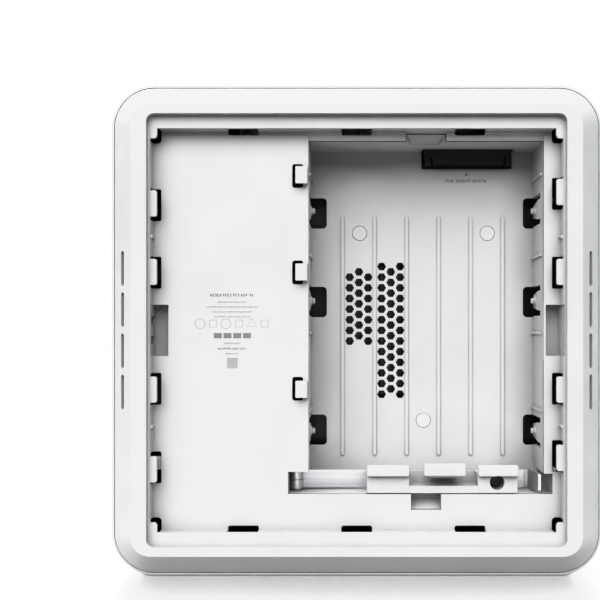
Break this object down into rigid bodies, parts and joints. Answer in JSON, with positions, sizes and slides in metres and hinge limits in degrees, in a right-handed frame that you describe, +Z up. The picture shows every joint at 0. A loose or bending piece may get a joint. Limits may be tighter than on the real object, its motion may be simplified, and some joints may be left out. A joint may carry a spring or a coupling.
{
  "type": "network storage enclosure",
  "caption": "Square desktop drive enclosure on edge, open underside showing an empty drive bay, swing latch, sprung pegs and cover catches.",
  "frame": {"origin": "centre of the overall box, on the edge it stands on", "axes": "+Z up towards the socket edge, +Y from the open underside to the closed top, +X to the right as seen from the open side"},
  "size_m": [0.217, 0.052, 0.217],
  "materials": {
    "shell_white": "fine satin moulded white",
    "base_white": "fine satin moulded white",
    "black_plastic": "matt black moulded",
    "gold": "gold-plated contacts",
    "circuit_board": "dark solder mask",
    "supply_board": "single-sided laminate",
    "steel": "satin nickel-plated steel",
    "dark_steel": "black oxide screw",
    "jack_shield": "tinned sheet",
    "light_pipe": "frosted diffuser",
    "chip_black": "moulded epoxy",
    "heat_sink": "black anodised",
    "capacitor": "bare can",
    "capacitor_black": "sleeved can",
    "ferrite": "sintered ferrite",
    "winding_tape": "wound tape",
    "insulator": "thin sheet",
    "screen_black": "black mesh",
    "lead_black": "black sleeve"
  },
  "bodies": {
    "enclosure": {"base_frame": "base_white", "bay_floor_plugs": "base_white", "bay_screws": "steel", "blower_housing": "black_plastic", "blower_screws": "steel", "board_capacitors": "capacitor", "board_chips": "chip_black", "board_screws": "steel", "drive_bay": "base_white", "drive_connector_board": "circuit_board", "heat_sink": "heat_sink", "main_board": "circuit_board", "network_jack_contacts": "gold", "network_jacks": "jack_shield", "power_inlet": "black_plastic", "power_inlet_pins": "steel", "reset_switch": "black_plastic", "sata_contacts": "gold", "sata_receptacle": "black_plastic", "status_light_board": "circuit_board", "status_light_pipe": "light_pipe", "supply_board": "supply_board", "supply_capacitors": "capacitor_black", "supply_choke": "ferrite", "supply_insulator": "insulator", "supply_lead": "lead_black", "top_shell": "shell_white", "transformer_core": "ferrite", "transformer_winding": "winding_tape", "vent_screens": "screen_black", "video_socket": "jack_shield", "latch_pin": "steel"},
    "latch": {"latch_arm": "steel", "latch_carrier": "base_white"},
    "clamp_finger": {"latch_clamp_finger": "base_white"},
    "screw_ring": {"latch_screw_ring": "steel"},
    "screw": {"latch_screw": "dark_steel"},
    "impeller": {"blower_impeller": "black_plastic"},
    "reset": {"reset_button": "black_plastic"},
    "peg_left_upper": {"peg_tongue_left_upper": "base_white"},
    "peg_left_middle": {"peg_tongue_left_middle": "base_white"},
    "peg_left_lower": {"peg_tongue_left_lower": "base_white"},
    "peg_right_upper": {"peg_tongue_right_upper": "base_white"},
    "peg_right_middle": {"peg_tongue_right_middle": "base_white"},
    "peg_right_lower": {"peg_tongue_right_lower": "base_white"}
  },
  "joints": [
    {"name": "latch_swing", "type": "hinge", "parent": "enclosure", "child": "latch", "pos_m": [-0.0272, -0.0063, 0.04115], "axis": [0, 0, -1], "range_deg": [0, 95]},
    {"name": "screw_rise", "type": "slide", "parent": "latch", "child": "screw_ring", "axis": [0, -1, 0], "range_m": [0, 0.0044]},
    {"name": "screw_turn", "type": "hinge", "parent": "screw_ring", "child": "screw", "pos_m": [0.06205, -0.012, 0.0413], "axis": [0, -1, 0], "range_deg": [0, 3170]},
    {"name": "clamp_flex", "type": "hinge", "parent": "latch", "child": "clamp_finger", "pos_m": [0.03875, -0.0054, 0.0445], "axis": [1, 0, 0], "range_deg": [0, 4], "stiffness_Nm_per_rad": 0.8},
    {"name": "blower_spin", "type": "hinge", "parent": "enclosure", "child": "impeller", "pos_m": [-0.068, -0.006, 0.0695], "axis": [0, 1, 0], "continuous": true},
    {"name": "reset_press", "type": "slide", "parent": "enclosure", "child": "reset", "axis": [0, 0, -1], "range_m": [0, 0.0007], "stiffness_N_per_m": 400},
    {"name": "peg_left_upper_flex", "type": "hinge", "parent": "enclosure", "child": "peg_left_upper", "pos_m": [-0.02215, -0.0076, 0.1637], "axis": [0, 0, 1], "range_deg": [0, 9], "stiffness_Nm_per_rad": 0.6},
    {"name": "peg_left_middle_flex", "type": "hinge", "parent": "enclosure", "child": "peg_left_middle", "pos_m": [-0.02215, -0.0076, 0.1221], "axis": [0, 0, 1], "range_deg": [0, 9], "stiffness_Nm_per_rad": 0.6},
    {"name": "peg_left_lower_flex", "type": "hinge", "parent": "enclosure", "child": "peg_left_lower", "pos_m": [-0.02215, -0.0076, 0.0621], "axis": [0, 0, 1], "range_deg": [0, 9], "stiffness_Nm_per_rad": 0.6},
    {"name": "peg_right_upper_flex", "type": "hinge", "parent": "enclosure", "child": "peg_right_upper", "pos_m": [0.08355, -0.0076, 0.1637], "axis": [0, 0, -1], "range_deg": [0, 9], "stiffness_Nm_per_rad": 0.6},
    {"name": "peg_right_middle_flex", "type": "hinge", "parent": "enclosure", "child": "peg_right_middle", "pos_m": [0.08355, -0.0076, 0.1221], "axis": [0, 0, -1], "range_deg": [0, 9], "stiffness_Nm_per_rad": 0.6},
    {"name": "peg_right_lower_flex", "type": "hinge", "parent": "enclosure", "child": "peg_right_lower", "pos_m": [0.08355, -0.0076, 0.0621], "axis": [0, 0, -1], "range_deg": [0, 9], "stiffness_Nm_per_rad": 0.6}
  ],
  "couplings": [
    {"joint": "screw_turn", "follows": "screw_rise", "rad_per_m": 12566}
  ]
}
